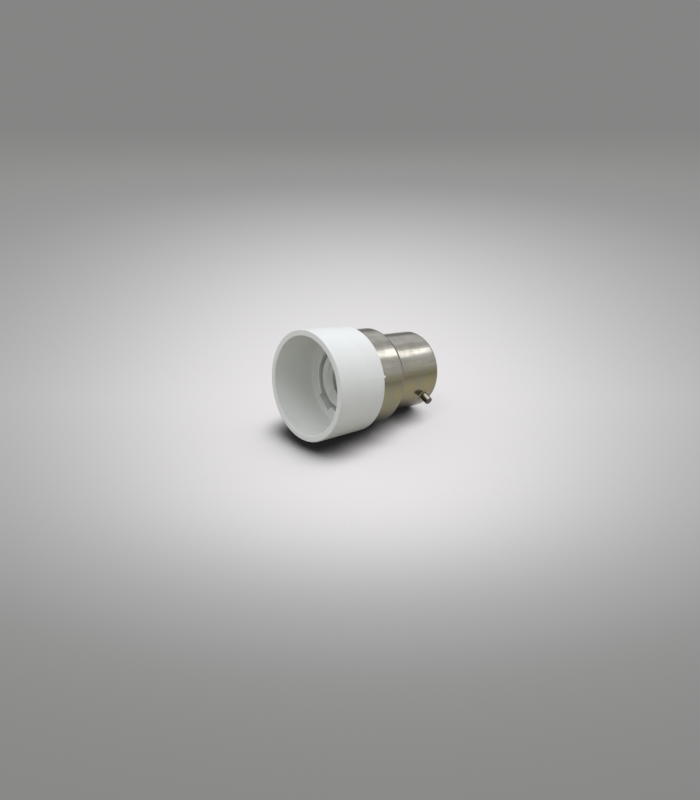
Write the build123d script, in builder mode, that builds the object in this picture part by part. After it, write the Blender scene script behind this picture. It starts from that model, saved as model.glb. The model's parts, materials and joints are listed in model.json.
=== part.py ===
from build123d import *

import os
from math import asin, atan2, cos, hypot, radians, sin, sqrt, tan

os.makedirs("parts", exist_ok=True)

# Lamp socket adapter: a two-pin bayonet cap that carries a small screw lamp socket.
# Stations are measured along the axis from the plane of the mouth rim towards the cap.
# Angles are taken about the axis, from straight down, positive towards +Y. All sizes are in mm.

# Bayonet shell: drawn sheet with a skirt, a rounded shoulder, a barrel and a turned-in end
barrel_diameter = 22.0
shell_wall = 0.4
shoulder_step = 2.2
skirt_length = 9.0
cap_length = 24.8
lip_width = 1.7
shoulder_round = 1.5
shoulder_fillet = 0.4
end_round = 0.9

# Bayonet pins: each stands on a raised seat of the barrel, and its tenon is riveted over inside
pin_diameter = 2.2
pin_height = 2.9
pin_setback = 4.5
pin_angle = -66.0
pin_tip_round = 0.5
tenon_diameter = 1.5
tenon_clearance = 0.02
pin_head_diameter = 2.8
pin_head_thickness = 0.5
pin_seat_height = 0.2
pin_seat_margin = 0.35
pin_seat_flare = 0.3

# Socket cup: tapered wall, flat rim, keyed web and the spigot that the cap fits over
cup_length = 15.0
cup_step = 1.05
cup_flare = 0.3
rim_wall = 1.6
rim_round = 0.5
cup_back_round = 0.35
recess_depth = 12.5
recess_taper = 0.45
web_thickness = 4.5
spigot_wall = 1.35
spigot_clearance = 0.05
spigot_chamfer = 0.5

# Keyways in the web, and the splines of the insert that stand in them
keyway_count = 3
keyway_angle = 36.5
keyway_width = 5.2
keyway_depth = 1.2
keyway_margin = 0.3
spline_clearance = 0.1
spline_setback = 2.9

# Thread insert: sleeve, clamped flange, floor and fins. Its thread is left plain at the minor diameter.
thread_minor_diameter = 12.4
thread_depth = 0.8
thread_length = 9.7
thread_lead_in = 0.8
sleeve_wall = 2.0
sleeve_setback = 0.2
contact_chamber_depth = 5.6
floor_thickness = 2.0
flange_thickness = 1.8
flange_clearance = 0.1
fin_thickness = 1.6
fin_clearance = 0.2

# Contact leaves of springy sheet, and the hollow rivets that hold them to the insert's floor.
# The side contact is the heavier, and is straight below the axis in the adapter as it lies.
leaf_angle = 0.0
leaf_thickness = 0.4
leaf_width = 3.6
leaf_bend = 0.8
rivet_offset = 3.9
rivet_diameter = 2.0
rivet_clearance = 0.02
rivet_bore = 1.0
rivet_head_diameter = 3.0
rivet_head_thickness = 0.45
foot_margin = 0.2
tongue_rise = 2.4
tongue_crest = 0.9
tongue_tip_drop = 0.7
tongue_tip_run = 1.1
side_leg_gap = 0.25
side_bow_rise = 3.8
side_bow_depth = 0.7
side_tip_run = 1.2

# End insulator with its two contact plates, solder domes and leads
insulator_thickness = 1.9
insulator_clearance = 0.05
boss_height = 1.2
boss_round = 0.6
plate_offset = 5.2
plate_length = 6.4
plate_width = 4.2
plate_thickness = 0.5
plate_recess = 0.3
plate_clearance = 0.05
solder_diameter = 3.6
solder_height = 0.9
lead_diameter = 0.8
lead_clearance = 0.1
lead_bend = 4.0

# Radii from the axis, from the shell inwards and from the lamp thread outwards
barrel_radius = barrel_diameter / 2
barrel_inside = barrel_radius - shell_wall
lip_radius = barrel_radius - lip_width
skirt_radius = barrel_radius + shoulder_step
skirt_inside = skirt_radius - shell_wall
pin_tip_radius = barrel_radius + pin_height
pin_seat_radius = barrel_radius + pin_seat_height
cup_back_radius = skirt_radius + cup_step
mouth_radius = cup_back_radius + cup_flare
mouth_bore_radius = mouth_radius - rim_wall
recess_end_radius = mouth_bore_radius - recess_taper
spigot_radius = skirt_inside - spigot_clearance
spigot_bore_radius = spigot_radius - spigot_wall
keyway_reach = sqrt((spigot_bore_radius - keyway_margin) ** 2 - (keyway_width / 2) ** 2)
web_hole_radius = keyway_reach - keyway_depth
thread_radius = thread_minor_diameter / 2
chamber_radius = thread_radius + thread_depth
sleeve_radius = thread_radius + sleeve_wall

# Stations along the axis
web_back = recess_depth + web_thickness
shoulder_station = cup_length + skirt_length
flange_back = shoulder_station - shell_wall
spigot_end = flange_back - flange_thickness
shell_end = cup_length + cap_length
lip_inside = shell_end - shell_wall
pin_station = shell_end - pin_setback
sleeve_front = recess_depth + sleeve_setback
spline_front = recess_depth + spline_setback
thread_end = sleeve_front + thread_length
floor_front = thread_end + contact_chamber_depth
floor_back = floor_front + floor_thickness
rivet_tail = floor_back + rivet_head_thickness
insulator_back = lip_inside - insulator_thickness
boss_top = shell_end + boss_height
plate_top = boss_top - plate_recess + plate_thickness

# Pins and contacts face each other in pairs. The line of the contact plates crosses that of the pins.
quarter_turn_angle = 90.0
half_turn_angle = 2 * quarter_turn_angle
plate_angle = pin_angle + quarter_turn_angle
pins = (("near", pin_angle), ("far", pin_angle + half_turn_angle))
leaf_poles = (("centre", leaf_angle + half_turn_angle), ("side", leaf_angle))
plate_poles = (("centre", plate_angle + half_turn_angle), ("side", plate_angle))

# The adapter lies on the rounded back edge of its cup and the rounded end of its shell,
# so its axis leans down towards the cap by the slope of the line that touches both rounds.
wall_taper = atan2(cup_flare, cup_length)
edge_station = cup_length - cup_back_round
edge_radius = cup_back_radius + cup_back_round * (tan(wall_taper) - 1 / cos(wall_taper))
edge_run = shell_end - end_round - edge_station
edge_drop = edge_radius - (barrel_radius - end_round)
lean = atan2(edge_drop, edge_run) - asin((end_round - cup_back_round) / hypot(edge_run, edge_drop))
mouth_height = edge_station * sin(lean) + edge_radius * cos(lean) + cup_back_round

# The origin is on the surface it lies on, under the middle of its length,
# which runs from the lower edge of the mouth to the higher solder dome.
solder_sphere = ((solder_diameter / 2) ** 2 + solder_height**2) / (2 * solder_height)
solder_centre = plate_top + solder_height - solder_sphere
solder_lift = plate_offset * abs(cos(radians(plate_angle))) * sin(lean)
reach_back = (mouth_radius - rim_round) * sin(lean) + rim_round * (1 - cos(lean))
reach_ahead = solder_centre * cos(lean) + solder_lift + solder_sphere

axis_direction = Vector(cos(lean), 0, -sin(lean))
downward = Vector(-sin(lean), 0, -cos(lean))
sideways = Vector(0, 1, 0)
mouth_centre = Vector((reach_back - reach_ahead) / 2, 0, mouth_height)
adapter_axis = Axis(mouth_centre, axis_direction)


def outward(angle):
    """Unit vector that points away from the axis at this angle."""
    return downward * cos(radians(angle)) + sideways * sin(radians(angle))


def section_plane(angle=0.0):
    """Plane through the axis: local X is the station, local Y the distance out at this angle."""
    return Plane(mouth_centre, x_dir=axis_direction, z_dir=axis_direction.cross(outward(angle)))


def station_plane(station, angle=0.0, offset=0.0):
    """Plane across the axis, facing the cap: local X points out at this angle, from an offset centre."""
    centre = mouth_centre + axis_direction * station + outward(angle) * offset
    return Plane(centre, x_dir=outward(angle), z_dir=axis_direction)


def offset_axis(angle, offset):
    """Line along the adapter, at this distance out from its axis."""
    return Axis(mouth_centre + outward(angle) * offset, axis_direction)


def pin_axis(angle):
    """Line square to the axis, from it out through the pin at this angle."""
    return Axis(mouth_centre + axis_direction * pin_station, outward(angle))


# Bayonet shell: one drawn sheet of even wall, with two raised and pierced seats for the pins
seat_top = pin_diameter / 2 + pin_seat_margin
with BuildPart() as bayonet_shell:
    with BuildSketch(section_plane()):
        with BuildLine():
            outer = FilletPolyline(
                (cup_length, skirt_radius),
                (shoulder_station, skirt_radius),
                (shoulder_station, barrel_radius),
                (shell_end, barrel_radius),
                (shell_end, lip_radius),
                radius=[shoulder_round, shoulder_fillet, end_round],
            )
            inner = FilletPolyline(
                (cup_length, skirt_inside),
                (flange_back, skirt_inside),
                (flange_back, barrel_inside),
                (lip_inside, barrel_inside),
                (lip_inside, lip_radius),
                radius=[shoulder_round - shell_wall, shoulder_fillet + shell_wall, end_round - shell_wall],
            )
            Line(outer @ 0, inner @ 0)
            Line(outer @ 1, inner @ 1)
        make_face()
    revolve(axis=adapter_axis)
    for _, angle in pins:
        with BuildSketch(section_plane(angle)):
            with BuildLine():
                Polyline(
                    (pin_station, barrel_inside + shell_wall / 2),
                    (pin_station + seat_top + pin_seat_flare, barrel_inside + shell_wall / 2),
                    (pin_station + seat_top, pin_seat_radius),
                    (pin_station, pin_seat_radius),
                    close=True,
                )
            make_face()
        revolve(axis=pin_axis(angle))
        with BuildSketch(section_plane(angle)):
            with BuildLine():
                Polyline(
                    (pin_station, barrel_inside - shell_wall),
                    (pin_station + tenon_diameter / 2 + tenon_clearance, barrel_inside - shell_wall),
                    (pin_station + tenon_diameter / 2 + tenon_clearance, pin_seat_radius),
                    (pin_station, pin_seat_radius),
                    close=True,
                )
            make_face()
        revolve(axis=pin_axis(angle), mode=Mode.SUBTRACT)
bayonet_shell.part.label = "bayonet_shell"
export_step(bayonet_shell.part, "parts/bayonet_shell.step")

# Bayonet pins: turned rods with a rounded tip and a tenon, headed over on the inside of the barrel
pin_head_level = sqrt(barrel_inside**2 - (pin_head_diameter / 2) ** 2)
for side, angle in pins:
    with BuildPart() as bayonet_pin:
        with BuildSketch(section_plane(angle)):
            with BuildLine():
                FilletPolyline(
                    (pin_station, pin_head_level - pin_head_thickness),
                    (pin_station + pin_head_diameter / 2, pin_head_level - pin_head_thickness),
                    (pin_station + pin_head_diameter / 2, pin_head_level),
                    (pin_station + tenon_diameter / 2, pin_head_level),
                    (pin_station + tenon_diameter / 2, pin_seat_radius),
                    (pin_station + pin_diameter / 2, pin_seat_radius),
                    (pin_station + pin_diameter / 2, pin_tip_radius),
                    (pin_station, pin_tip_radius),
                    radius=[0, 0, 0, 0, 0, 0, pin_tip_round, 0],
                    close=True,
                )
            make_face()
        revolve(axis=pin_axis(angle))
    bayonet_pin.part.label = f"bayonet_pin_{side}"
    export_step(bayonet_pin.part, f"parts/bayonet_pin_{side}.step")

# Socket cup, one moulding: the wall and web are one revolved section, and the keyways are cut after
with BuildPart() as socket_cup:
    with BuildSketch(section_plane()):
        with BuildLine():
            FilletPolyline(
                (0, mouth_bore_radius),
                (0, mouth_radius),
                (cup_length, cup_back_radius),
                (cup_length, spigot_radius),
                (spigot_end - spigot_chamfer, spigot_radius),
                (spigot_end, spigot_radius - spigot_chamfer),
                (spigot_end, spigot_bore_radius),
                (web_back, spigot_bore_radius),
                (web_back, web_hole_radius),
                (recess_depth, web_hole_radius),
                (recess_depth, recess_end_radius),
                radius=[0, rim_round, cup_back_round, 0, 0, 0, 0, 0, 0, 0, 0],
                close=True,
            )
        make_face()
    revolve(axis=adapter_axis)
    with BuildSketch(station_plane(recess_depth, keyway_angle)):
        with PolarLocations(keyway_reach / 2, keyway_count):
            Rectangle(keyway_reach, keyway_width)
    extrude(amount=web_thickness, mode=Mode.SUBTRACT)
socket_cup.part.label = "socket_cup"
export_step(socket_cup.part, "parts/socket_cup.step")

# Thread insert: its flange is clamped between the spigot's end and the shoulder of the shell,
# and its chamfer keeps the flange clear of the round inside that shoulder
flange_radius = skirt_inside - flange_clearance
flange_chamfer = shoulder_round - shell_wall - flange_clearance
spline_reach = keyway_reach - spline_clearance
spline_width = keyway_width - 2 * spline_clearance
fin_reach = barrel_inside - fin_clearance
wall_middle = (sleeve_radius + chamber_radius) / 2
with BuildPart() as thread_insert:
    with BuildSketch(section_plane()):
        with BuildLine():
            Polyline(
                (sleeve_front, thread_radius + thread_lead_in),
                (sleeve_front, sleeve_radius),
                (spigot_end, sleeve_radius),
                (spigot_end, flange_radius),
                (flange_back - flange_chamfer, flange_radius),
                (flange_back, flange_radius - flange_chamfer),
                (flange_back, sleeve_radius),
                (floor_back, sleeve_radius),
                (floor_back, 0),
                (floor_front, 0),
                (floor_front, chamber_radius),
                (thread_end, chamber_radius),
                (thread_end, thread_radius),
                (sleeve_front + thread_lead_in, thread_radius),
                close=True,
            )
        make_face()
    revolve(axis=adapter_axis)
    with BuildSketch(station_plane(spline_front, keyway_angle)):
        with PolarLocations((wall_middle + spline_reach) / 2, keyway_count):
            Rectangle(spline_reach - wall_middle, spline_width)
    extrude(amount=spigot_end - spline_front)
    with BuildSketch(station_plane(flange_back, keyway_angle)):
        with PolarLocations((wall_middle + fin_reach) / 2, keyway_count):
            Rectangle(fin_reach - wall_middle, fin_thickness)
    extrude(amount=floor_back - flange_back)
    with BuildSketch(station_plane(floor_front, leaf_angle)):
        with PolarLocations(rivet_offset, len(leaf_poles)):
            Circle(rivet_diameter / 2 + rivet_clearance)
    extrude(amount=floor_thickness, mode=Mode.SUBTRACT)
thread_insert.part.label = "thread_insert"
export_step(thread_insert.part, "parts/thread_insert.step")

# Centre contact: a strip with its foot on the floor, bent up so that its crest is near the axis
foot_level = floor_front - leaf_thickness / 2
foot_half = rivet_head_diameter / 2 + foot_margin
with BuildPart() as centre_contact:
    with BuildSketch(section_plane(leaf_angle)):
        with BuildLine():
            FilletPolyline(
                (foot_level, -rivet_offset - foot_half),
                (foot_level, -rivet_offset + foot_half + leaf_bend / 2),
                (floor_front - tongue_rise, tongue_crest),
                (floor_front - tongue_rise + tongue_tip_drop, tongue_crest + tongue_tip_run),
                radius=[leaf_bend, leaf_bend],
            )
        trace(line_width=leaf_thickness)
    extrude(amount=leaf_width / 2, both=True)
    with BuildSketch(station_plane(floor_front, leaf_angle, -rivet_offset)):
        Circle(rivet_diameter / 2 + rivet_clearance)
    extrude(amount=-leaf_thickness, mode=Mode.SUBTRACT)
centre_contact.part.label = "centre_contact"
export_step(centre_contact.part, "parts/centre_contact.step")

# Side contact: its foot is on the floor too, and its leg stands by the wall and bows inwards
leg_outside = sqrt(chamber_radius**2 - (leaf_width / 2) ** 2) - side_leg_gap
leg_level = leg_outside - leaf_thickness / 2
with BuildPart() as side_contact:
    with BuildSketch(section_plane(leaf_angle)):
        with BuildLine():
            FilletPolyline(
                (foot_level, rivet_offset - foot_half),
                (foot_level, leg_level),
                (floor_front - side_bow_rise / 2, leg_level),
                (floor_front - side_bow_rise, leg_level - side_bow_depth),
                (floor_front - side_bow_rise - side_tip_run, leg_level),
                radius=[leaf_bend, leaf_bend, leaf_bend],
            )
        trace(line_width=leaf_thickness)
    extrude(amount=leaf_width / 2, both=True)
    with BuildSketch(station_plane(floor_front, leaf_angle, rivet_offset)):
        Circle(rivet_diameter / 2 + rivet_clearance)
    extrude(amount=-leaf_thickness, mode=Mode.SUBTRACT)
side_contact.part.label = "side_contact"
export_step(side_contact.part, "parts/side_contact.step")

# Hollow rivets: a head on the leaf, a shank through the floor and a turned-over tail behind it
rivet_top = floor_front - leaf_thickness
rivet_chamfer = rivet_head_thickness / 2
head_radius = rivet_head_diameter / 2
for pole, angle in leaf_poles:
    with BuildPart() as rivet:
        with BuildSketch(section_plane(angle)):
            with BuildLine():
                Polyline(
                    (rivet_top - rivet_head_thickness, rivet_offset + rivet_bore / 2),
                    (rivet_top - rivet_head_thickness, rivet_offset + head_radius - rivet_chamfer),
                    (rivet_top - rivet_chamfer, rivet_offset + head_radius),
                    (rivet_top, rivet_offset + head_radius),
                    (rivet_top, rivet_offset + rivet_diameter / 2),
                    (floor_back, rivet_offset + rivet_diameter / 2),
                    (floor_back, rivet_offset + head_radius),
                    (floor_back + rivet_chamfer, rivet_offset + head_radius),
                    (rivet_tail, rivet_offset + head_radius - rivet_chamfer),
                    (rivet_tail, rivet_offset + rivet_bore / 2),
                    close=True,
                )
            make_face()
        revolve(axis=offset_axis(angle, rivet_offset))
    rivet.part.label = f"{pole}_rivet"
    export_step(rivet.part, f"parts/{pole}_rivet.step")

# Leads: bare wires, each set over from the bore of its rivet to the hole in its contact plate.
# The bends are a quarter of the free length between floor and insulator from its ends.
bend_margin = (insulator_back - rivet_tail) / 4
print(f"lead bend radius {lead_bend} mm, wire {lead_diameter} mm")
for (pole, angle), (_, end_angle) in zip(leaf_poles, plate_poles):
    set_over = outward(end_angle) * plate_offset - outward(angle) * rivet_offset
    lead_origin = mouth_centre + outward(angle) * rivet_offset
    lead_plane = Plane(lead_origin, x_dir=axis_direction, z_dir=axis_direction.cross(set_over))
    with BuildPart() as lead:
        with BuildLine(lead_plane) as route:
            FilletPolyline(
                (floor_front, 0),
                (rivet_tail + bend_margin, 0),
                (insulator_back - bend_margin, set_over.length),
                (plate_top, set_over.length),
                radius=lead_bend,
            )
        with BuildSketch(station_plane(floor_front, angle, rivet_offset)):
            Circle(lead_diameter / 2)
        sweep(path=route.wires()[0])
    lead.part.label = f"{pole}_lead"
    export_step(lead.part, f"parts/{pole}_lead.step")

# End insulator: glass disc behind the turned-in end, with a boss that stands out through it
disc_radius = barrel_inside - insulator_clearance
boss_radius = lip_radius - insulator_clearance
with BuildPart() as end_insulator:
    with BuildSketch(section_plane()):
        with BuildLine():
            FilletPolyline(
                (insulator_back, 0),
                (insulator_back, disc_radius),
                (lip_inside - end_round, disc_radius),
                (lip_inside, disc_radius - end_round),
                (lip_inside, boss_radius),
                (boss_top, boss_radius),
                (boss_top, 0),
                radius=[0, 0, 0, 0, 0, boss_round, 0],
                close=True,
            )
        make_face()
    revolve(axis=adapter_axis)
    with BuildSketch(station_plane(boss_top, plate_angle)):
        with PolarLocations(plate_offset, len(plate_poles)):
            SlotOverall(
                plate_length + 2 * plate_clearance,
                plate_width + 2 * plate_clearance,
                rotation=quarter_turn_angle,
            )
    extrude(amount=-plate_recess, mode=Mode.SUBTRACT)
    with BuildSketch(station_plane(boss_top, plate_angle)):
        with PolarLocations(plate_offset, len(plate_poles)):
            Circle(lead_diameter / 2 + lead_clearance)
    extrude(amount=insulator_back - boss_top, mode=Mode.SUBTRACT)
end_insulator.part.label = "end_insulator"
export_step(end_insulator.part, "parts/end_insulator.step")

# Contact plates: brass ovals set in the glass, pierced for the leads
for pole, angle in plate_poles:
    with BuildPart() as contact_plate:
        with BuildSketch(station_plane(plate_top, angle, plate_offset)):
            SlotOverall(plate_length, plate_width, rotation=quarter_turn_angle)
            Circle(lead_diameter / 2 + lead_clearance, mode=Mode.SUBTRACT)
        extrude(amount=-plate_thickness)
    contact_plate.part.label = f"{pole}_contact_plate"
    export_step(contact_plate.part, f"parts/{pole}_contact_plate.step")

# Solder domes: drops that close the holes of the plates over the ends of the leads
for pole, angle in plate_poles:
    with BuildPart() as solder:
        with BuildSketch(section_plane(angle)):
            with BuildLine():
                rim_point = (plate_top, plate_offset + solder_diameter / 2)
                top_point = (plate_top + solder_height, plate_offset)
                RadiusArc(rim_point, top_point, solder_sphere)
                Polyline(top_point, (plate_top, plate_offset), rim_point)
            make_face()
        revolve(axis=offset_axis(angle, plate_offset))
    solder.part.label = f"{pole}_solder"
    export_step(solder.part, f"parts/{pole}_solder.step")
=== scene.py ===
import json

import bmesh
import bpy
import numpy as np
from mathutils import Matrix


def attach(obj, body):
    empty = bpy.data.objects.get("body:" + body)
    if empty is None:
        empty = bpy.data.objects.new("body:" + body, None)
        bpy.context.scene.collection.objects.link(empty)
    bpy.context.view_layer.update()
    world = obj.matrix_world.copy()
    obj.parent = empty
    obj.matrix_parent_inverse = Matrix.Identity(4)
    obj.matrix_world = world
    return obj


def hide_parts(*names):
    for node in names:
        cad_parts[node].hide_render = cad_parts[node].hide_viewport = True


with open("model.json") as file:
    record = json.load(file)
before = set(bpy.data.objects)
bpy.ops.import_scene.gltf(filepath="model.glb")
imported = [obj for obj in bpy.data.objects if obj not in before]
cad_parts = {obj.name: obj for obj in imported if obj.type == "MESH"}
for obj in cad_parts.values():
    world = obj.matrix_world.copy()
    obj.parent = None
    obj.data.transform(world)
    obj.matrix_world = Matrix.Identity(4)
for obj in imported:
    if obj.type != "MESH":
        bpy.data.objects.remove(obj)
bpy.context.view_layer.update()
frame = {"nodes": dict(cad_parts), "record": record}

# Socket cup: the white body that takes the lamp, with a keyed web near its back and a spigot behind.
# It is one injection moulding in a hard white plastic, and its spigot is pushed into the metal cap.
# A cut-off gate leaves a small nib on its back edge.
mounts = {mount["name"]: mount for mount in frame["record"]["mounts"]}
socket_place = 1000 * np.array(mounts["screw_socket"]["pos_m"])
rim_place = 1000 * np.array(mounts["mouth_rim"]["pos_m"])
along = -np.array(mounts["screw_socket"]["axis"])
along /= np.linalg.norm(along)
mouth = socket_place + along * np.dot(rim_place - socket_place, along)
across = np.array([0.0, 1.0, 0.0])
down = np.cross(across, along)


def turned(station, radius, angle, origin=mouth, axis=along, first=down):
    """Points of a turned form, in metres from millimetres.

    A point is the origin, plus the station along the axis, plus the radius swung by the angle:
    cosine times the first direction and sine times the one square to it and to the axis."""
    station, radius, angle = np.broadcast_arrays(station, radius, angle)
    swing = np.cos(angle)[..., None] * first + np.sin(angle)[..., None] * np.cross(axis, first)
    return (origin + station[..., None] * axis + radius[..., None] * swing) / 1000


def rounded(corners, rounds, closed=True, steps=6, support=0.05):
    """Outline through corner points, each corner cut by an arc that touches both of its sides.

    An arc of radius r starts r times the tangent of half the turn before its corner, and its points are
    at equal angles about its centre. A point just outside each end keeps the flat beside it flat."""
    corners = np.asarray(corners, float)
    outline = []
    for i, (corner, radius) in enumerate(zip(corners, rounds)):
        if radius == 0 or (not closed and i in (0, len(corners) - 1)):
            outline.append(corner[None])
            continue
        into = corner - corners[i - 1]
        into /= np.hypot(*into)
        out = corners[(i + 1) % len(corners)] - corner
        out /= np.hypot(*out)
        turn = np.arctan2(into[0] * out[1] - into[1] * out[0], into @ out)
        reach = radius * np.tan(abs(turn) / 2)
        spoke = np.sign(turn) * radius * np.array([into[1], -into[0]])
        centre = corner - into * reach - spoke
        swing = np.linspace(0, turn, steps + 1)[:, None]
        square = np.array([-spoke[1], spoke[0]])
        arc = centre + np.cos(swing) * spoke + np.sin(swing) * square
        outline += [corner[None] - into * (reach + support), arc, corner[None] + out * (reach + support)]
    return np.vstack(outline)


def skin(name, grid, rows_close=False, sharp=0.6):
    """Closed mesh over a grid of points, with a face for each cell.

    The columns run round the piece and close on themselves. The rows close too, or start and end in a
    point, where the doubled points are merged. If the volume, the sum of the tetrahedra from the faces to
    the origin, comes out negative, every face is turned round."""
    rows, columns = grid.shape[:2]
    row_count = rows if rows_close else rows - 1
    row, column = np.meshgrid(np.arange(row_count), np.arange(columns), indexing="ij")
    next_row, next_column = (row + 1) % rows, (column + 1) % columns
    faces = np.stack(
        [
            row * columns + column,
            row * columns + next_column,
            next_row * columns + next_column,
            next_row * columns + column,
        ],
        axis=-1,
    ).reshape(-1, 4)
    points = grid.reshape(-1, 3)
    a, b, c, d = (points[faces[:, k]] for k in range(4))
    if np.sum(a * np.cross(b, c)) + np.sum(a * np.cross(c, d)) < 0:
        faces = faces[:, ::-1]
    mesh = bpy.data.meshes.new(name)
    mesh.from_pydata(points.tolist(), [], faces.tolist())
    weld = bmesh.new()
    weld.from_mesh(mesh)
    bmesh.ops.remove_doubles(weld, verts=weld.verts, dist=1e-7)
    bmesh.ops.dissolve_degenerate(weld, edges=weld.edges, dist=1e-8)
    weld.to_mesh(mesh)
    weld.free()
    mesh.polygons.foreach_set("use_smooth", np.ones(len(mesh.polygons), bool))
    mesh.set_sharp_from_angle(angle=sharp)
    piece = bpy.data.objects.new(name, mesh)
    bpy.context.scene.collection.objects.link(piece)
    return piece


def keyed(angle, plain, reach, half, middles):
    """Radius of a round edge with square keys: the plain radius, or the key's box where that is further out.

    At an angle f from a key's middle, its end is at reach / cos f and its sides are at half / sin f."""
    away = np.abs((angle[:, None] - middles[None] + np.pi) % (2 * np.pi) - np.pi).min(axis=1)
    end = reach / np.maximum(np.cos(away), 1e-3)
    side = half / np.maximum(np.sin(away), 1e-6)
    return np.where(away < np.pi / 2, np.maximum(plain, np.minimum(end, side)), plain)


def key_angles(plain, reach, half, middles):
    """Angles at which a keyed edge turns its corners: where the sides meet the end, and the plain radius."""
    corner, foot = np.arctan2(half, reach), np.arcsin(half / plain)
    return (middles[:, None] + np.array([-foot, -corner, 0, corner, foot])[None]).ravel() % (2 * np.pi)


def sorted_angles(count, *more):
    """Evenly spaced angles round a turned form, with the others that it needs put in where they belong.

    An even one that would be very near another is left out."""
    extra = np.unique(np.round(np.concatenate([np.zeros(0), *more]) % (2 * np.pi), 7))
    even = np.arange(count) * 2 * np.pi / count
    if len(extra):
        gap = np.abs((even[:, None] - extra[None] + np.pi) % (2 * np.pi) - np.pi).min(axis=1)
        even = even[gap > 0.004]
    return np.sort(np.concatenate([even, extra]))


key_middles = np.radians(36.5 + 120.0 * np.arange(3))
web_hole, key_reach, key_half = 9.59, 10.79, 2.6
web_front, web_back, cup_back, spigot_end = 12.5, 17.0, 15, 21.8
back_edge, spigot, spigot_inside = 14.25, 12.75, 11.4
nib_angle, nib_reach, nib_rise = np.radians(-109.0), 0.5, 0.2
nib_middle, nib_long, nib_deep, nib_wide = 14.1, 0.35, 0.3, 0.32
nib_spread = nib_angle + np.linspace(-0.08, 0.08, 33)
cup_angles = sorted_angles(224, key_angles(web_hole, key_reach, key_half, key_middles), nib_spread)
cup_outline = rounded(
    [
        (0, 12.95), (0, 14.58), (14.4, 14.262), (cup_back, back_edge), (cup_back, spigot), (21.3, spigot),
        (spigot_end, 12.25), (spigot_end, spigot_inside), (web_back, spigot_inside), (web_back, web_hole),
        (web_front, web_hole), (web_front, 12.5),
    ],
    [0.2, 0.3, 0, 0.35, 0.1, 0.1, 0.1, 0.1, 0.2, 0.1, 0.2, 0.45],
)
cup_station = np.repeat(cup_outline[:, :1], len(cup_angles), axis=1)
cup_radius = np.repeat(cup_outline[:, 1:], len(cup_angles), axis=1)
on_keyed_edge = cup_outline[:, 1] < (web_hole + spigot_inside) / 2
cup_radius[on_keyed_edge] += keyed(cup_angles, web_hole, key_reach, key_half, key_middles) - web_hole
from_nib = (cup_angles - nib_angle + np.pi) % (2 * np.pi) - np.pi
along_nib = ((cup_station - cup_back) / nib_long) ** 2
into_nib = ((cup_radius - nib_middle) / nib_deep) ** 2
round_nib = (back_edge * from_nib / nib_wide) ** 2
nib = np.exp(-along_nib - into_nib - round_nib)
cup_station += nib_reach * nib
cup_radius += nib_rise * nib
cup_body = skin("cup_body", turned(cup_station, cup_radius, cup_angles), rows_close=True)


class Shade:
    """A shader socket in an expression: each operator adds the node that works its result out."""

    def __init__(self, tree, socket=None):
        self.tree, self.socket = tree, socket

    def node(self, kind, settings=(), sockets=(), out=0):
        """Add any node: its settings are set first, then its sockets get their values or links."""
        made = self.tree.nodes.new("ShaderNode" + kind)
        for key, value in dict(settings).items():
            setattr(made, key, value)
        for key, value in dict(sockets).items():
            if isinstance(value, Shade):
                self.tree.links.new(value.socket, made.inputs[key])
            else:
                made.inputs[key].default_value = value
        return Shade(self.tree, made.outputs[out])

    def work(self, operation, *values):
        return self.node("Math", {"operation": operation}, dict(enumerate(values)))

    def __add__(self, other):
        return self.work("ADD", self, other)

    def __sub__(self, other):
        return self.work("SUBTRACT", self, other)

    def __rsub__(self, other):
        return self.work("SUBTRACT", other, self)

    def __mul__(self, other):
        return self.work("MULTIPLY", self, other)

    def __pow__(self, other):
        return self.work("POWER", self, other)

    __radd__ = __add__
    __rmul__ = __mul__

    def between(self, low, high):
        """0 under the low value and 1 over the high one, with a soft ramp between them."""
        limits = {"Value": self, "From Min": low, "From Max": high}
        return self.node("MapRange", {"interpolation_type": "SMOOTHSTEP"}, limits)

    def blend(self, first, second):
        """The first colour where this is 0, the second where it is 1."""
        return self.node("Mix", {"data_type": "RGBA"}, {0: self, 6: first, 7: second}, out=2)

    def feed(self, shader, socket):
        self.tree.links.new(self.socket, shader.inputs[socket])


def finish(name, **sockets):
    """New material: its shader with constants on its sockets, and a start for expressions in its tree."""
    made = bpy.data.materials.new(name)
    made.use_nodes = True
    shader = made.node_tree.nodes["Principled BSDF"]
    for socket, value in sockets.items():
        shader.inputs[socket.replace("_", " ")].default_value = value
    return made, shader, Shade(made.node_tree)


def moulded(name, pale, deep, rough):
    """Moulded plastic: a slow drift of colour in the melt, a fine orange-peel skin, and odd rubbed spots."""
    made, shader, start = finish(name, IOR=1.46)
    place = start.node("TexCoord", out="Object")
    drift = start.node("TexNoise", {}, {"Vector": place, "Scale": 130.0, "Detail": 3.0, "Roughness": 0.55})
    peel = start.node("TexNoise", {}, {"Vector": place, "Scale": 2600.0, "Detail": 2.0})
    rubs = start.node("TexNoise", {}, {"Vector": place, "Scale": 620.0, "Detail": 5.0, "Roughness": 0.65})
    rubbed = rubs.between(0.58, 0.74)
    drift.between(0.35, 0.68).blend((*deep, 1), (*pale, 1)).feed(shader, "Base Color")
    (rough + 0.10 * peel + 0.10 * rubbed).feed(shader, "Roughness")
    bumps = {"Strength": 0.22, "Distance": 0.00003, "Height": peel + 0.6 * rubs}
    start.node("Bump", {}, bumps).feed(shader, "Normal")
    return made


cup_body.data.materials.append(moulded("moulded_white", (0.80, 0.81, 0.77), (0.775, 0.785, 0.74), 0.34))
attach(cup_body, "root")
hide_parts("socket_cup")

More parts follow.
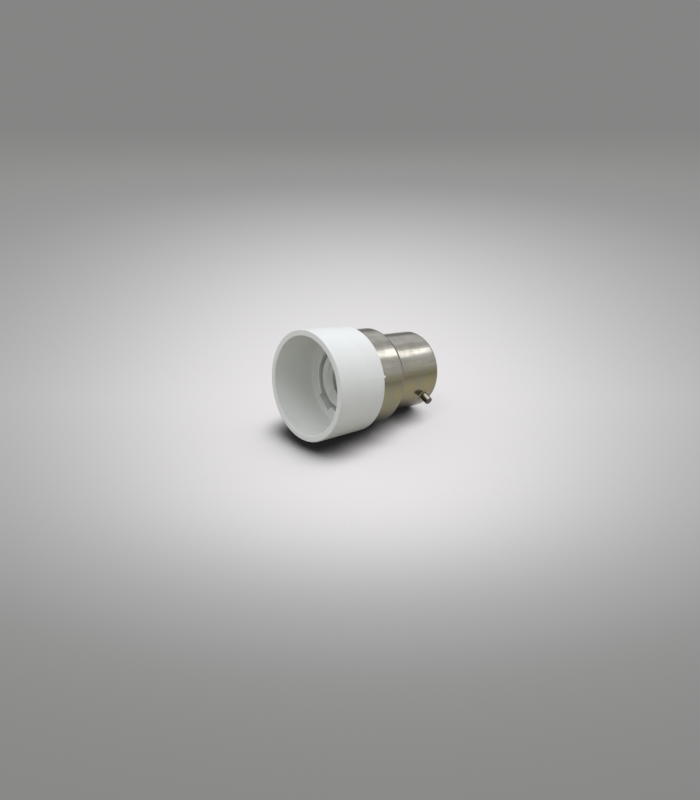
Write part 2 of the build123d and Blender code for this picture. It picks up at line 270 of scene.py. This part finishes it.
# Thread insert: the sleeve with the lamp's screw thread, on a flange that is clamped in the cap's shoulder.
# A second moulding in the same plastic, with three splines in the web's keyways and three fins behind.
# The thread is a rounded one of 14 mm and a pitch of 2.82 mm, moulded on a core that is unscrewed from it.
spline_reach, spline_half, fin_reach, fin_half, sleeve = 10.69, 2.5, 10.4, 0.8, 8.2
thread_pitch, thread_minor, thread_major, thread_start, lead_in = 2.82, 6.2, 7.0, 3.5, 7.9
sleeve_front, spline_front, flange_front, thread_end, flange_back = 12.7, 15.4, 21.8, 22.4, 23.6
floor_front, floor_back, chamber, flange = 28.0, 30.0, 7.0, 12.7
insert_angles = sorted_angles(
    240,
    key_angles(sleeve, spline_reach, spline_half, key_middles),
    key_angles(sleeve, fin_reach, fin_half, key_middles),
)
spline_edge = keyed(insert_angles, sleeve, spline_reach, spline_half, key_middles)
fin_edge = keyed(insert_angles, sleeve, fin_reach, fin_half, key_middles)


def lamp_thread(station, angle):
    """Radius of the rounded thread: a cosine between the minor and major radii.

    Its phase moves on by one turn for each pitch along the axis, and it runs out into the lead-in cone."""
    phase = 2 * np.pi * station / thread_pitch - angle - thread_start
    wave = (thread_minor + thread_major) / 2 + (thread_major - thread_minor) / 2 * np.cos(phase)
    return np.maximum(wave, lead_in - (station - sleeve_front))


thread_rows = np.linspace(thread_end, sleeve_front, 110)[:, None]
insert_rows = [(floor_front, 0.0), (floor_front, 6.7), (27.97, 6.9), (27.8, chamber)]
insert_rows += [(22.42, chamber), (thread_end, chamber)]
insert_rows += list(zip(thread_rows, lamp_thread(thread_rows, insert_angles)))
insert_rows += [(sleeve_front, 7.95), (12.72, 8.07), (12.79, 8.16), (12.9, sleeve), (12.95, sleeve)]
insert_rows += [(spline_front, sleeve), (spline_front, np.maximum(sleeve, spline_edge - 0.12))]
insert_rows += [(15.52, spline_edge), (flange_front, spline_edge), (flange_front, 12.6), (21.9, flange)]
insert_rows += [(22.6, flange), (flange_back, 11.7), (flange_back, fin_edge), (29.8, fin_edge)]
insert_rows += [(floor_back, np.maximum(sleeve - 0.2, fin_edge - 0.2))]
insert_rows += [(floor_back, chamber), (floor_back, 0.0)]
whole_row = np.ones(len(insert_angles))
insert_station = np.array([station * whole_row for station, _ in insert_rows])
insert_radius = np.array([radius * whole_row for _, radius in insert_rows])
threaded_sleeve = skin("threaded_sleeve", turned(insert_station, insert_radius, insert_angles))
threaded_sleeve.data.materials.append(moulded("insert_white", (0.80, 0.81, 0.77), (0.77, 0.78, 0.735), 0.38))
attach(threaded_sleeve, "root")
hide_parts("thread_insert")

# Bayonet shell: the metal cap, with a wide skirt over the spigot, a rounded shoulder and a narrower barrel.
# It is deep-drawn from thin brass sheet and nickel plated, and its end is turned in over the glass.
# Two seats for the pins are pressed up from inside, so each has a flat top and a sloping edge.
skirt, skirt_inside, shoulder, shoulder_inside = 13.2, 12.8, 24, 23.6
barrel, barrel_inside, shell_end, end_inside, end_hole = 11.0, 10.6, 39.8, 39.4, 9.3
pin_station, seat_level, seat_top, seat_foot = 35.3, 11.2, 1.4, 1.75
groove_depth, groove_middle, groove_half = 0.05, 1.22, 0.1
pin_angles = np.radians(np.array([-66.0, 114.0]))
near_pin = np.radians(np.arange(-11.5, 11.51, 0.55))
shell_angles = sorted_angles(200, (pin_angles[:, None] + near_pin[None]).ravel())
seat_stations = np.arange(pin_station - 2.1, pin_station + 2.11, 0.1)
shell_corners = [(cup_back, skirt_inside), (cup_back, skirt), (shoulder, skirt), (shoulder, barrel)]
shell_corners += [(station, barrel) for station in seat_stations]
shell_corners += [(shell_end, barrel), (shell_end, end_hole), (end_inside, end_hole)]
shell_corners += [(end_inside, barrel_inside), (shoulder_inside, barrel_inside)]
shell_corners += [(shoulder_inside, skirt_inside)]
shell_rounds = [0.08, 0.12, 1.5, 0.4] + [0] * len(seat_stations) + [0.9, 0.15, 0.1, 0.5, 0.8, 1.1]
shell_outline = rounded(shell_corners, shell_rounds, steps=10)
shell_station = np.repeat(shell_outline[:, :1], len(shell_angles), axis=1)
shell_radius = np.repeat(shell_outline[:, 1:], len(shell_angles), axis=1)


def pin_seats(station, radius, angle):
    """Barrel radius with its raised seats.

    A seat's top is a plane square to the pin, so its radius is its level / cos of the angle from the pin.
    It falls to the barrel between the distances of its top edge and its foot. A narrow groove, a bell curve
    of the distance, goes round the pin."""
    away = (angle[:, None] - pin_angles[None] + np.pi) % (2 * np.pi) - np.pi
    away = np.take_along_axis(away, np.abs(away).argmin(axis=1)[:, None], axis=1)[:, 0]
    distance = np.hypot(station - pin_station, barrel * np.sin(away))
    rise = np.clip((seat_foot - distance) / (seat_foot - seat_top), 0, 1)
    rise = rise * rise * (3 - 2 * rise)
    groove = groove_depth * np.exp(-(((distance - groove_middle) / groove_half) ** 2))
    return radius + rise * (seat_level / np.cos(np.clip(away, -1, 1)) - barrel) - groove


on_barrel = np.abs(shell_outline[:, 1] - barrel) < 1e-6
shell_radius[on_barrel] = pin_seats(shell_station[on_barrel], shell_radius[on_barrel], shell_angles)
cap_shell = skin("cap_shell", turned(shell_station, shell_radius, shell_angles), rows_close=True)
lean = np.arctan2(-along[2], along[0])


def nickel(name, bright, dull, tarnish, rough, painted_shade_from):
    """Nickel plate over drawn brass: rings from polishing, streaks from drawing, dull patches and scuffs.

    The patterns are turned to the cap's axis. Rings change quickly along it and streaks quickly round it.
    Towards the side the cap lies on, an olive brass tone is painted in as a reflection of the floor, and
    painted shade darkens it further down. Past the shoulder's edge and further than a given distance from
    the axis, it is painted near black: shade at the shoulder, a dark reflection at a pin's tip."""
    made, shader, start = finish(name)
    place = start.node("TexCoord", out="Object")

    def on_axis(long, wide):
        turn = {"Location": tuple(mouth / 1000), "Rotation": (0, lean, 0), "Scale": (long, wide, wide)}
        return start.node("Mapping", {"vector_type": "TEXTURE"}, {"Vector": place, **turn})

    def pattern(long, wide, detail):
        sockets = {"Vector": on_axis(long, wide), "Scale": 1.0, "Detail": detail, "Roughness": 0.6}
        return start.node("TexNoise", {}, sockets)

    rings = pattern(0.00012, 0.02, 3.0)
    streaks = pattern(0.012, 0.00032, 3.0)
    patches = pattern(0.0034, 0.0034, 4.0)
    scuffs = pattern(0.0011, 0.0009, 5.0).between(0.60, 0.74)
    dulled = patches.between(0.36, 0.66)
    millimetres = on_axis(0.001, 0.001)
    station, side, height = (start.node("SeparateXYZ", {}, {0: millimetres}, out=way) for way in "XYZ")
    # painted reflection: an olive brass tone towards the side the cap lies on, broken up by patches
    painted_floor_reflection = (height + 5.0 * patches).between(9.5, 3.5)
    # painted shade: near black past the shoulder's edge, beyond a given distance from the axis
    edge = 0.7 * station.between(22.7, 23.2)
    edge *= (side * side + height * height).between(painted_shade_from**2, (painted_shade_from + 0.4) ** 2)
    plate = (0.55 * dulled + 0.55 * streaks.between(0.3, 0.7)).blend((*bright, 1), (*dull, 1))
    greyer, lower_shade_tone = np.array((0.9, 0.96, 1.2)) * tarnish, 0.35 * np.array(tarnish)
    painted_reflection_tone = patches.between(0.40, 0.62).blend((*tarnish, 1), (*greyer, 1))
    # painted shade: darker towards the bottom of the cap
    painted_lower_shade = 0.7 * height.between(-1.0, -9.0)
    plate = painted_lower_shade.blend(painted_floor_reflection.blend(plate, painted_reflection_tone), (*lower_shade_tone, 1))
    edge.blend(plate, (0.08, 0.072, 0.055, 1)).feed(shader, "Base Color")
    (1 - 0.8 * edge).feed(shader, "Metallic")
    (rough + 0.06 * streaks + 0.05 * dulled + 0.05 * scuffs + 0.3 * edge).feed(shader, "Roughness")
    relief = 0.4 * rings + 0.5 * streaks + 0.2 * scuffs + 0.4 * patches
    bumps = {"Strength": 0.25, "Distance": 0.00001, "Height": relief}
    start.node("Bump", {}, bumps).feed(shader, "Normal")
    return made


# the third tone is the floor's reflection, painted on the cap's lower side
shell_bright, shell_dull, shell_reflection_olive = (0.50, 0.475, 0.41), (0.365, 0.34, 0.28), (0.305, 0.27, 0.15)
nickel_plate = nickel("nickel_plate", shell_bright, shell_dull, shell_reflection_olive, 0.12, 12.3)
cap_shell.data.materials.append(nickel_plate)
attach(cap_shell, "root")
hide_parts("bayonet_shell")

# Bayonet pins: two short round pegs that hold the cap in the slots of a lampholder.
# Each is turned from brass rod and nickel plated with the shell, and its tenon is riveted over inside.
head_in, head_out, foot, tip = 10.0, 10.5, 11.16, 13.9
head, tenon, shank = 1.4, 0.75, 1.1
pin_outline = rounded(
    [
        (head_in, 0), (head_in, head), (head_out, head), (head_out, tenon),
        (foot, tenon), (foot, shank), (tip, shank), (tip, 0),
    ],
    [0, 0.2, 0.1, 0.05, 0.05, 0.05, 0.4, 0],
    closed=False,
    support=0.03,
)
# a darker copy of the shell's nickel; its third tone is the painted floor reflection, and the tip is painted
# dark as a reflection
peg_bright, peg_dull, peg_reflection_olive = (0.43, 0.405, 0.34), (0.33, 0.305, 0.25), (0.29, 0.262, 0.20)
pin_nickel = nickel("pin_nickel", peg_bright, peg_dull, peg_reflection_olive, 0.27, 13.35)
peg_angles = sorted_angles(64)
for side, pin_angle in zip(("near", "far"), pin_angles):
    out = np.cos(pin_angle) * down + np.sin(pin_angle) * across
    pin_root = mouth + along * pin_station
    peg = turned(pin_outline[:, :1], pin_outline[:, 1:], peg_angles, origin=pin_root, axis=out, first=along)
    cap_pin = skin(f"cap_pin_{side}", peg)
    cap_pin.data.materials.append(pin_nickel)
    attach(cap_pin, "root")
    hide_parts(f"bayonet_pin_{side}")

# Contact leaves: the centre one bears on the tip of the lamp and the side one on its screw shell.
# Each is a strip of springy bronze sheet, blanked with round ends, bent, and riveted to the insert's floor.


def strip(name, route, bends, half_width, half_thickness, end_round):
    """Sheet strip: a slim rounded section carried along a bent route in the upright plane of the axis.

    Near each end its half-width follows a quarter circle, and the last rows close to a point in the end."""
    path = rounded(route, bends, closed=False, support=0.12)
    along_path = np.concatenate([[0], np.cumsum(np.hypot(*np.diff(path, axis=0).T))])
    ends = end_round * (1 - np.cos(np.linspace(0, np.pi / 2, 9)))
    places = np.unique(np.concatenate([ends, along_path, along_path[-1] - ends]).round(6))
    path = np.stack([np.interp(places, along_path, path[:, k]) for k in range(2)], axis=1)
    heading = np.gradient(path, places, axis=0)
    heading /= np.hypot(*heading.T)[:, None]
    from_end = np.clip(np.minimum(places, places[-1] - places) / end_round, 0, 1)
    width = half_width - end_round + end_round * np.sqrt(1 - (1 - from_end) ** 2)
    edge = rounded([(-1, -1), (1, -1), (1, 1), (-1, 1)], [0.9] * 4, steps=4, support=0.02)
    flat, thick = edge.T
    sideways = flat[None] * half_thickness + np.sign(edge[:, 0])[None] * (width[:, None] - half_thickness)
    middle = mouth + path[:, :1] * along + path[:, 1:] * down
    normal = -heading[:, 1:] * along + heading[:, :1] * down
    upwards = (thick * half_thickness)[None, :, None] * normal[:, None]
    grid = middle[:, None] + sideways[..., None] * across + upwards
    start, end = middle[None, :1].repeat(len(edge), 1), middle[None, -1:].repeat(len(edge), 1)
    return skin(name, np.concatenate([start, grid, end]) / 1000, sharp=0.9)


def sheet_metal(name, bright, dull, rough):
    """Rolled sheet: fine lines along the rolling, blotches where it has tarnished, and a soft shine."""
    made, shader, start = finish(name, Metallic=1.0)
    place = start.node("TexCoord", out="Object")
    rolling = {"Vector": place, "Scale": (0.003, 0.00012, 0.003)}
    grain = start.node("Mapping", {"vector_type": "TEXTURE"}, rolling)
    lines = start.node("TexNoise", {}, {"Vector": grain, "Scale": 1.0, "Detail": 3.0})
    tarnish = start.node("TexNoise", {}, {"Vector": place, "Scale": 420.0, "Detail": 4.0}).between(0.4, 0.7)
    (0.8 * tarnish + 0.2 * lines).blend((*bright, 1), (*dull, 1)).feed(shader, "Base Color")
    (rough + 0.12 * lines + 0.12 * tarnish).feed(shader, "Roughness")
    bumps = {"Strength": 0.25, "Distance": 0.00001, "Height": lines}
    start.node("Bump", {}, bumps).feed(shader, "Normal")
    return made


contact_bronze = sheet_metal("contact_bronze", (0.80, 0.56, 0.32), (0.62, 0.42, 0.25), 0.24)
leaf_routes = {
    "centre": [(27.8, -5.6), (27.8, -1.8), (25.6, 0.9), (26.3, 2.0)],
    "side": [(27.8, 2.2), (27.8, 6.315), (26.1, 6.315), (24.2, 5.615), (23.0, 6.315)],
}
leaf_bend, leaf_half_width, leaf_half_thickness, leaf_end = 0.8, 1.8, 0.2, 0.7
for pole, route in leaf_routes.items():
    bends = [leaf_bend] * len(route)
    leaf = strip(f"{pole}_leaf", route, bends, leaf_half_width, leaf_half_thickness, leaf_end)
    leaf.data.materials.append(contact_bronze)
    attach(leaf, "root")
    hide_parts(f"{pole}_contact")
    frame["nodes"][f"{pole}_rivet"].material_slots[0].material = contact_bronze

# Leads: two bare wires in the closed cap, from the rivets of the leaves to the holes of the contact plates.
# They are tinned copper, drawn, bent by hand and soldered at the plates.
tinned_wire, wire_shader, wire_start = finish("tinned_wire", Metallic=1.0)
wire_place = wire_start.node("TexCoord", out="Object")
wire_spots = wire_start.node("TexNoise", {}, {"Vector": wire_place, "Scale": 900.0, "Detail": 4.0})
wire_dull = wire_spots.between(0.4, 0.7)
wire_dull.blend((0.70, 0.69, 0.67, 1), (0.52, 0.50, 0.47, 1)).feed(wire_shader, "Base Color")
(0.26 + 0.2 * wire_dull).feed(wire_shader, "Roughness")
for pole in leaf_routes:
    frame["nodes"][f"{pole}_lead"].material_slots[0].material = tinned_wire

# End insulator: the black disc that closes the cap and carries the contact plates.
# It is glass, pressed hot into the shell's turned-in end, so it is glossy with a slightly wavy skin.
black_glass, glass_shader, glass_start = finish("black_glass", IOR=1.52, Coat_Roughness=0.05)
glass_place = glass_start.node("TexCoord", out="Object")
waves = glass_start.node("TexNoise", {}, {"Vector": glass_place, "Scale": 260.0, "Detail": 2.0})
specks = glass_start.node("TexNoise", {}, {"Vector": glass_place, "Scale": 2300.0, "Detail": 3.0})
specks = specks.between(0.62, 0.72)
specks.blend((0.014, 0.014, 0.017, 1), (0.05, 0.05, 0.055, 1)).feed(glass_shader, "Base Color")
(0.10 + 0.10 * waves + 0.25 * specks).feed(glass_shader, "Roughness")
glass_bumps = {"Strength": 0.4, "Distance": 0.00015, "Height": waves}
glass_start.node("Bump", {}, glass_bumps).feed(glass_shader, "Normal")
frame["nodes"]["end_insulator"].material_slots[0].material = black_glass

# Contact plates: two ovals in the glass that touch the plungers of the lampholder.
# Each is stamped from brass sheet with a rolled edge, and pressed into the glass while it is soft.
plate_angles = np.radians(np.array([24.0 + 180.0, 24.0]))
plate_top, plate_offset, plate_thickness, oval_round, oval_shift = 41.2, 5.2, 0.5, 2.1, 1.1
arc_points = 25
plate_brass = sheet_metal("plate_brass", (0.78, 0.64, 0.38), (0.60, 0.47, 0.27), 0.22)
half_circle = np.linspace(-np.pi / 2, np.pi / 2, arc_points)
oval_turn = np.concatenate([half_circle, half_circle + np.pi])
oval_side = np.repeat([1.0, -1.0], arc_points)
plate_corners = [(0, 0.03), (1, 0), (1, -plate_thickness), (0, -plate_thickness)]
plate_outline = rounded(plate_corners, [0, 0.1, 0.05, 0], closed=False, support=0.02)
for pole, plate_angle in zip(("centre", "side"), plate_angles):
    out = np.cos(plate_angle) * down + np.sin(plate_angle) * across
    beside = np.cross(along, out)
    heart = mouth + along * plate_top + out * plate_offset
    share, level = plate_outline[:, :1], plate_outline[:, 1:]
    to_side = share * (oval_side * oval_shift + oval_round * np.cos(oval_turn))
    to_out = share * oval_round * np.sin(oval_turn)
    oval = heart + to_side[..., None] * beside + to_out[..., None] * out + level[..., None] * along
    contact_plate = skin(f"{pole}_plate", oval / 1000)
    contact_plate.data.materials.append(plate_brass)
    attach(contact_plate, "root")
    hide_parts(f"{pole}_contact_plate")

# Solder domes: the drops that join the leads to the contact plates and close their holes.
# They are soft solder, set in uneven mounds with a dull, slightly puckered skin.
solder_tin, tin_shader, tin_start = finish("solder_tin", Metallic=1.0)
tin_place = tin_start.node("TexCoord", out="Object")
pucker = tin_start.node("TexNoise", {}, {"Vector": tin_place, "Scale": 1100.0, "Detail": 4.0})
dross = tin_start.node("TexNoise", {}, {"Vector": tin_place, "Scale": 500.0, "Detail": 3.0})
dross = dross.between(0.45, 0.7)
dross.blend((0.70, 0.70, 0.69, 1), (0.50, 0.50, 0.49, 1)).feed(tin_shader, "Base Color")
(0.24 + 0.22 * dross).feed(tin_shader, "Roughness")
tin_bumps = {"Strength": 0.35, "Distance": 0.00004, "Height": pucker}
tin_start.node("Bump", {}, tin_bumps).feed(tin_shader, "Normal")
dome_height, dome_reach = 0.9, 1.8
dome_turn = sorted_angles(72)
dome_share = np.sin(np.linspace(0, np.pi / 2, 22))[:, None]
for pole, plate_angle, shift in zip(("centre", "side"), plate_angles, (0.4, 2.3)):
    out = np.cos(plate_angle) * down + np.sin(plate_angle) * across
    uneven = 1 + 0.035 * np.cos(2 * dome_turn + shift) + 0.02 * np.cos(3 * dome_turn + 2 * shift) - 0.05
    slump = (1 - 0.05 * dome_share * np.cos(dome_turn - shift)) ** 2
    mound = np.minimum(dome_height * np.sqrt(1 - dome_share**2) * slump, dome_height)
    mound = np.concatenate([mound, np.zeros((1, len(dome_turn)))])
    spread = np.concatenate([dome_reach * dome_share * uneven, np.zeros((1, len(dome_turn)))])
    heart = mouth + along * plate_top + out * plate_offset
    solder_dome = skin(f"{pole}_dome", turned(mound, spread, dome_turn, origin=heart, first=out))
    solder_dome.data.materials.append(solder_tin)
    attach(solder_dome, "root")
    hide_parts(f"{pole}_solder")

# Stage: a pale floor with a painted pool of light and a painted shadow close to the adapter, grey where
# the camera looks past it, and the camera.
# To the camera and in reflections, the floor shows six tenths of its tone by itself, and all of it far off.
# Softboxes stand overhead, above the mouth and beyond the cap. The soft sky has dark flags past the cap.
azimuth, elevation = np.radians(-41.23), np.radians(24.58)
floor_mesh = bpy.data.meshes.new("floor")
floor_mesh.from_pydata([(-9, -9, 0), (9, -9, 0), (9, 9, 0), (-9, 9, 0)], [], [(0, 1, 2, 3)])
floor = bpy.data.objects.new("floor", floor_mesh)
bpy.context.scene.collection.objects.link(floor)
far_grey = (0.235, 0.235, 0.99 * 0.235, 1)
haze = (0.54, 0.53, 0.515, 1)
pool_ahead, pool_front, pool_beyond, glow = 0.014, 0.080, 0.32, 0.6
pale_floor, floor_shader, floor_start = finish("pale_floor", Roughness=0.9, Specular_IOR_Level=0.1)
pool_place = (-pool_ahead * np.sin(azimuth), pool_ahead * np.cos(azimuth), 0)
floor_turn = {"Location": pool_place, "Rotation": (0, 0, azimuth)}
floor_place = floor_start.node("TexCoord", out="Object")
floor_place = floor_start.node("Mapping", {"vector_type": "TEXTURE"}, {"Vector": floor_place, **floor_turn})
forward = floor_start.node("SeparateXYZ", {}, {0: floor_place}, out="Y")
in_front = forward.work("MAXIMUM", -1.0 * forward, 0.0) * (1 / pool_front)
beyond = forward.work("MAXIMUM", forward, 0.0) * (1 / pool_beyond)
half_width = forward.work("MAXIMUM", 0.097 + 0.10 * beyond - 0.05 * in_front, 0.02)
aside = forward.work("ABSOLUTE", floor_start.node("SeparateXYZ", {}, {0: floor_place}, out="X"))
to_side = forward.work("DIVIDE", aside, half_width)
# painted pool of light: the floor's colour is palest near the adapter and falls to grey further out
from_middle = (to_side**2.0 + in_front**6.0 + beyond**1.2) ** 0.5
paleness = (1 + from_middle**2.6) ** -1.0
out_of_view = (aside - 0.53 * forward).between(0.12, 0.22)
far_floor = out_of_view.blend(far_grey, haze)
painted_light_pool = paleness.blend(far_floor, (0.785, 0.765, 0.757, 1))
# painted shadow: occlusion close to the adapter, sought along a normal tilted towards the cap, darkens the
# floor's colour to near black
towards_cap = floor_start.node("CombineXYZ", {}, {0: 0.80, 1: -0.12, 2: 0.59})
near_by = {"Distance": 0.010, "Normal": towards_cap}
open_way = floor_start.node("AmbientOcclusion", {"samples": 16}, near_by, out="AO")
from_cup = floor_start.node("SeparateXYZ", {}, {0: floor_start.node("TexCoord", out="Object")}, out="X")
contact = (open_way * (1 + 0.10 * from_cup.between(-0.002, 0.008))).between(0.42, 0.97)
pale = contact.blend((0.02, 0.02, 0.02, 1), painted_light_pool)
shown = floor_start.node("LightPath", out="Is Camera Ray")
for ray in ("Is Glossy Ray", "Is Transmission Ray"):
    shown = shown.work("MAXIMUM", shown, floor_start.node("LightPath", out=ray))
# bounced light sees a darker olive grey floor, while the camera and reflections see the painted tones
shown.blend((0.36, 0.35, 0.30, 1), pale).feed(floor_shader, "Base Color")
floor_glow = floor_start.node("Emission", {}, {"Color": pale})
floor_surface = Shade(floor_start.tree, floor_shader.outputs[0])
glow_share = shown.work("MAXIMUM", glow * shown, from_middle.between(0.9, 2.3))
faded = floor_start.node("MixShader", {}, {0: glow_share, 1: floor_surface, 2: floor_glow})
faded.feed(pale_floor.node_tree.nodes["Material Output"], "Surface")
floor_mesh.materials.append(pale_floor)


def softbox(name, place, target, width, height, power, colour):
    """Rectangular lamp at a place, turned so that it shines at the target."""
    lamp = bpy.data.lights.new(name, "AREA")
    lamp.shape, lamp.size, lamp.size_y = "RECTANGLE", width, height
    lamp.energy, lamp.color = power, colour
    holder = bpy.data.objects.new(name, lamp)
    back = np.array(place) - np.array(target)
    back = back / np.linalg.norm(back)
    side = np.cross((0, 0, 1) if abs(back[2]) < 0.99 else (0, 1, 0), back)
    side = side / np.linalg.norm(side)
    turn = np.stack([side, np.cross(back, side), back], axis=1)
    holder.matrix_world = Matrix.Translation(place) @ Matrix(turn.tolist()).to_4x4()
    bpy.context.scene.collection.objects.link(holder)


daylight = (0.985, 1.0, 1.06)
softbox("overhead_softbox", (0.18, -0.03, 0.56), (0, 0, 0.01), 0.26, 0.26, 0.94, daylight)
softbox("mouth_softbox", (-0.18, -0.03, 0.52), (-0.01, 0, 0.01), 0.20, 0.20, 0.55, daylight)
softbox("cap_softbox", (0.321, -0.103, 0.240), (0.01, 0, 0.01), 0.098, 0.064, 0.036, (0.985, 1.0, 1.04))
world = bpy.data.worlds.new("studio")
world.use_nodes = True
sky_light = world.node_tree.nodes["Background"]
sky_start = Shade(world.node_tree)
sky_way = sky_start.node("TexCoord", out="Generated")


def sky_towards(*way):
    """Cosine of the angle between where a ray goes and this direction."""
    return sky_start.node("VectorMath", {"operation": "DOT_PRODUCT"}, {0: sky_way, 1: way}, out=1)


sky_level = 0.24 + 0.20 * sky_towards(0, 0, 1).between(-0.1, 0.95)
sky_level += 0.45 * sky_towards(0.80, 0.55, 0.20).between(-0.2, 1.0)
sky_level += 0.30 * sky_towards(0.12, -0.97, 0.22).between(-0.2, 1.0)
sky_level += 0.58 * sky_towards(-0.64, 0.75, 0.18).between(0.5, 0.9)
to_back, past_cap = sky_towards(0, 1, 0), sky_towards(1, 0, 0).between(0.5, 0.7)
upper_flag = to_back.between(-0.06, 0.02) - to_back.between(0.10, 0.26)
lower_flag = to_back.between(-0.58, -0.48) - to_back.between(-0.44, -0.36)
sky_level -= past_cap * (0.24 * upper_flag + 0.16 * lower_flag)
sky_level *= 1 - 0.8 * sky_towards(0.99, 0.02, 0.10).between(0.90, 0.97)
sky_bright = sky_start.node("VectorMath", {"operation": "SCALE"}, {0: daylight, "Scale": sky_level})
horizon = sky_towards(0, 0, 1).between(0.11, 0.0)
behind = sky_towards(-np.sin(azimuth), np.cos(azimuth), 0).between(0.70, 0.87)
behind *= sky_towards(0, 0, 1).between(0.36, 0.18)
behind.blend(horizon.blend(sky_bright, haze), far_grey).feed(sky_light, "Color")
bpy.context.scene.world = world

camera = bpy.data.cameras.new("photo_camera")
camera.lens, camera.sensor_width, camera.clip_start = 27.0, 36.0, 0.01
viewer = bpy.data.objects.new("photo_camera", camera)
camera_place = (-0.10423, -0.11361, 0.07667)
right = np.array([np.cos(azimuth), np.sin(azimuth), 0.0])
level_back = np.array([np.sin(azimuth), -np.cos(azimuth), 0.0])
back = np.cos(elevation) * level_back + np.array([0.0, 0.0, np.sin(elevation)])
turn = np.stack([right, np.cross(back, right), back], axis=1)
viewer.matrix_world = Matrix.Translation(camera_place) @ Matrix(turn.tolist()).to_4x4()
bpy.context.scene.collection.objects.link(viewer)
bpy.context.scene.camera = viewer
bpy.context.scene.view_settings.view_transform = "Standard"
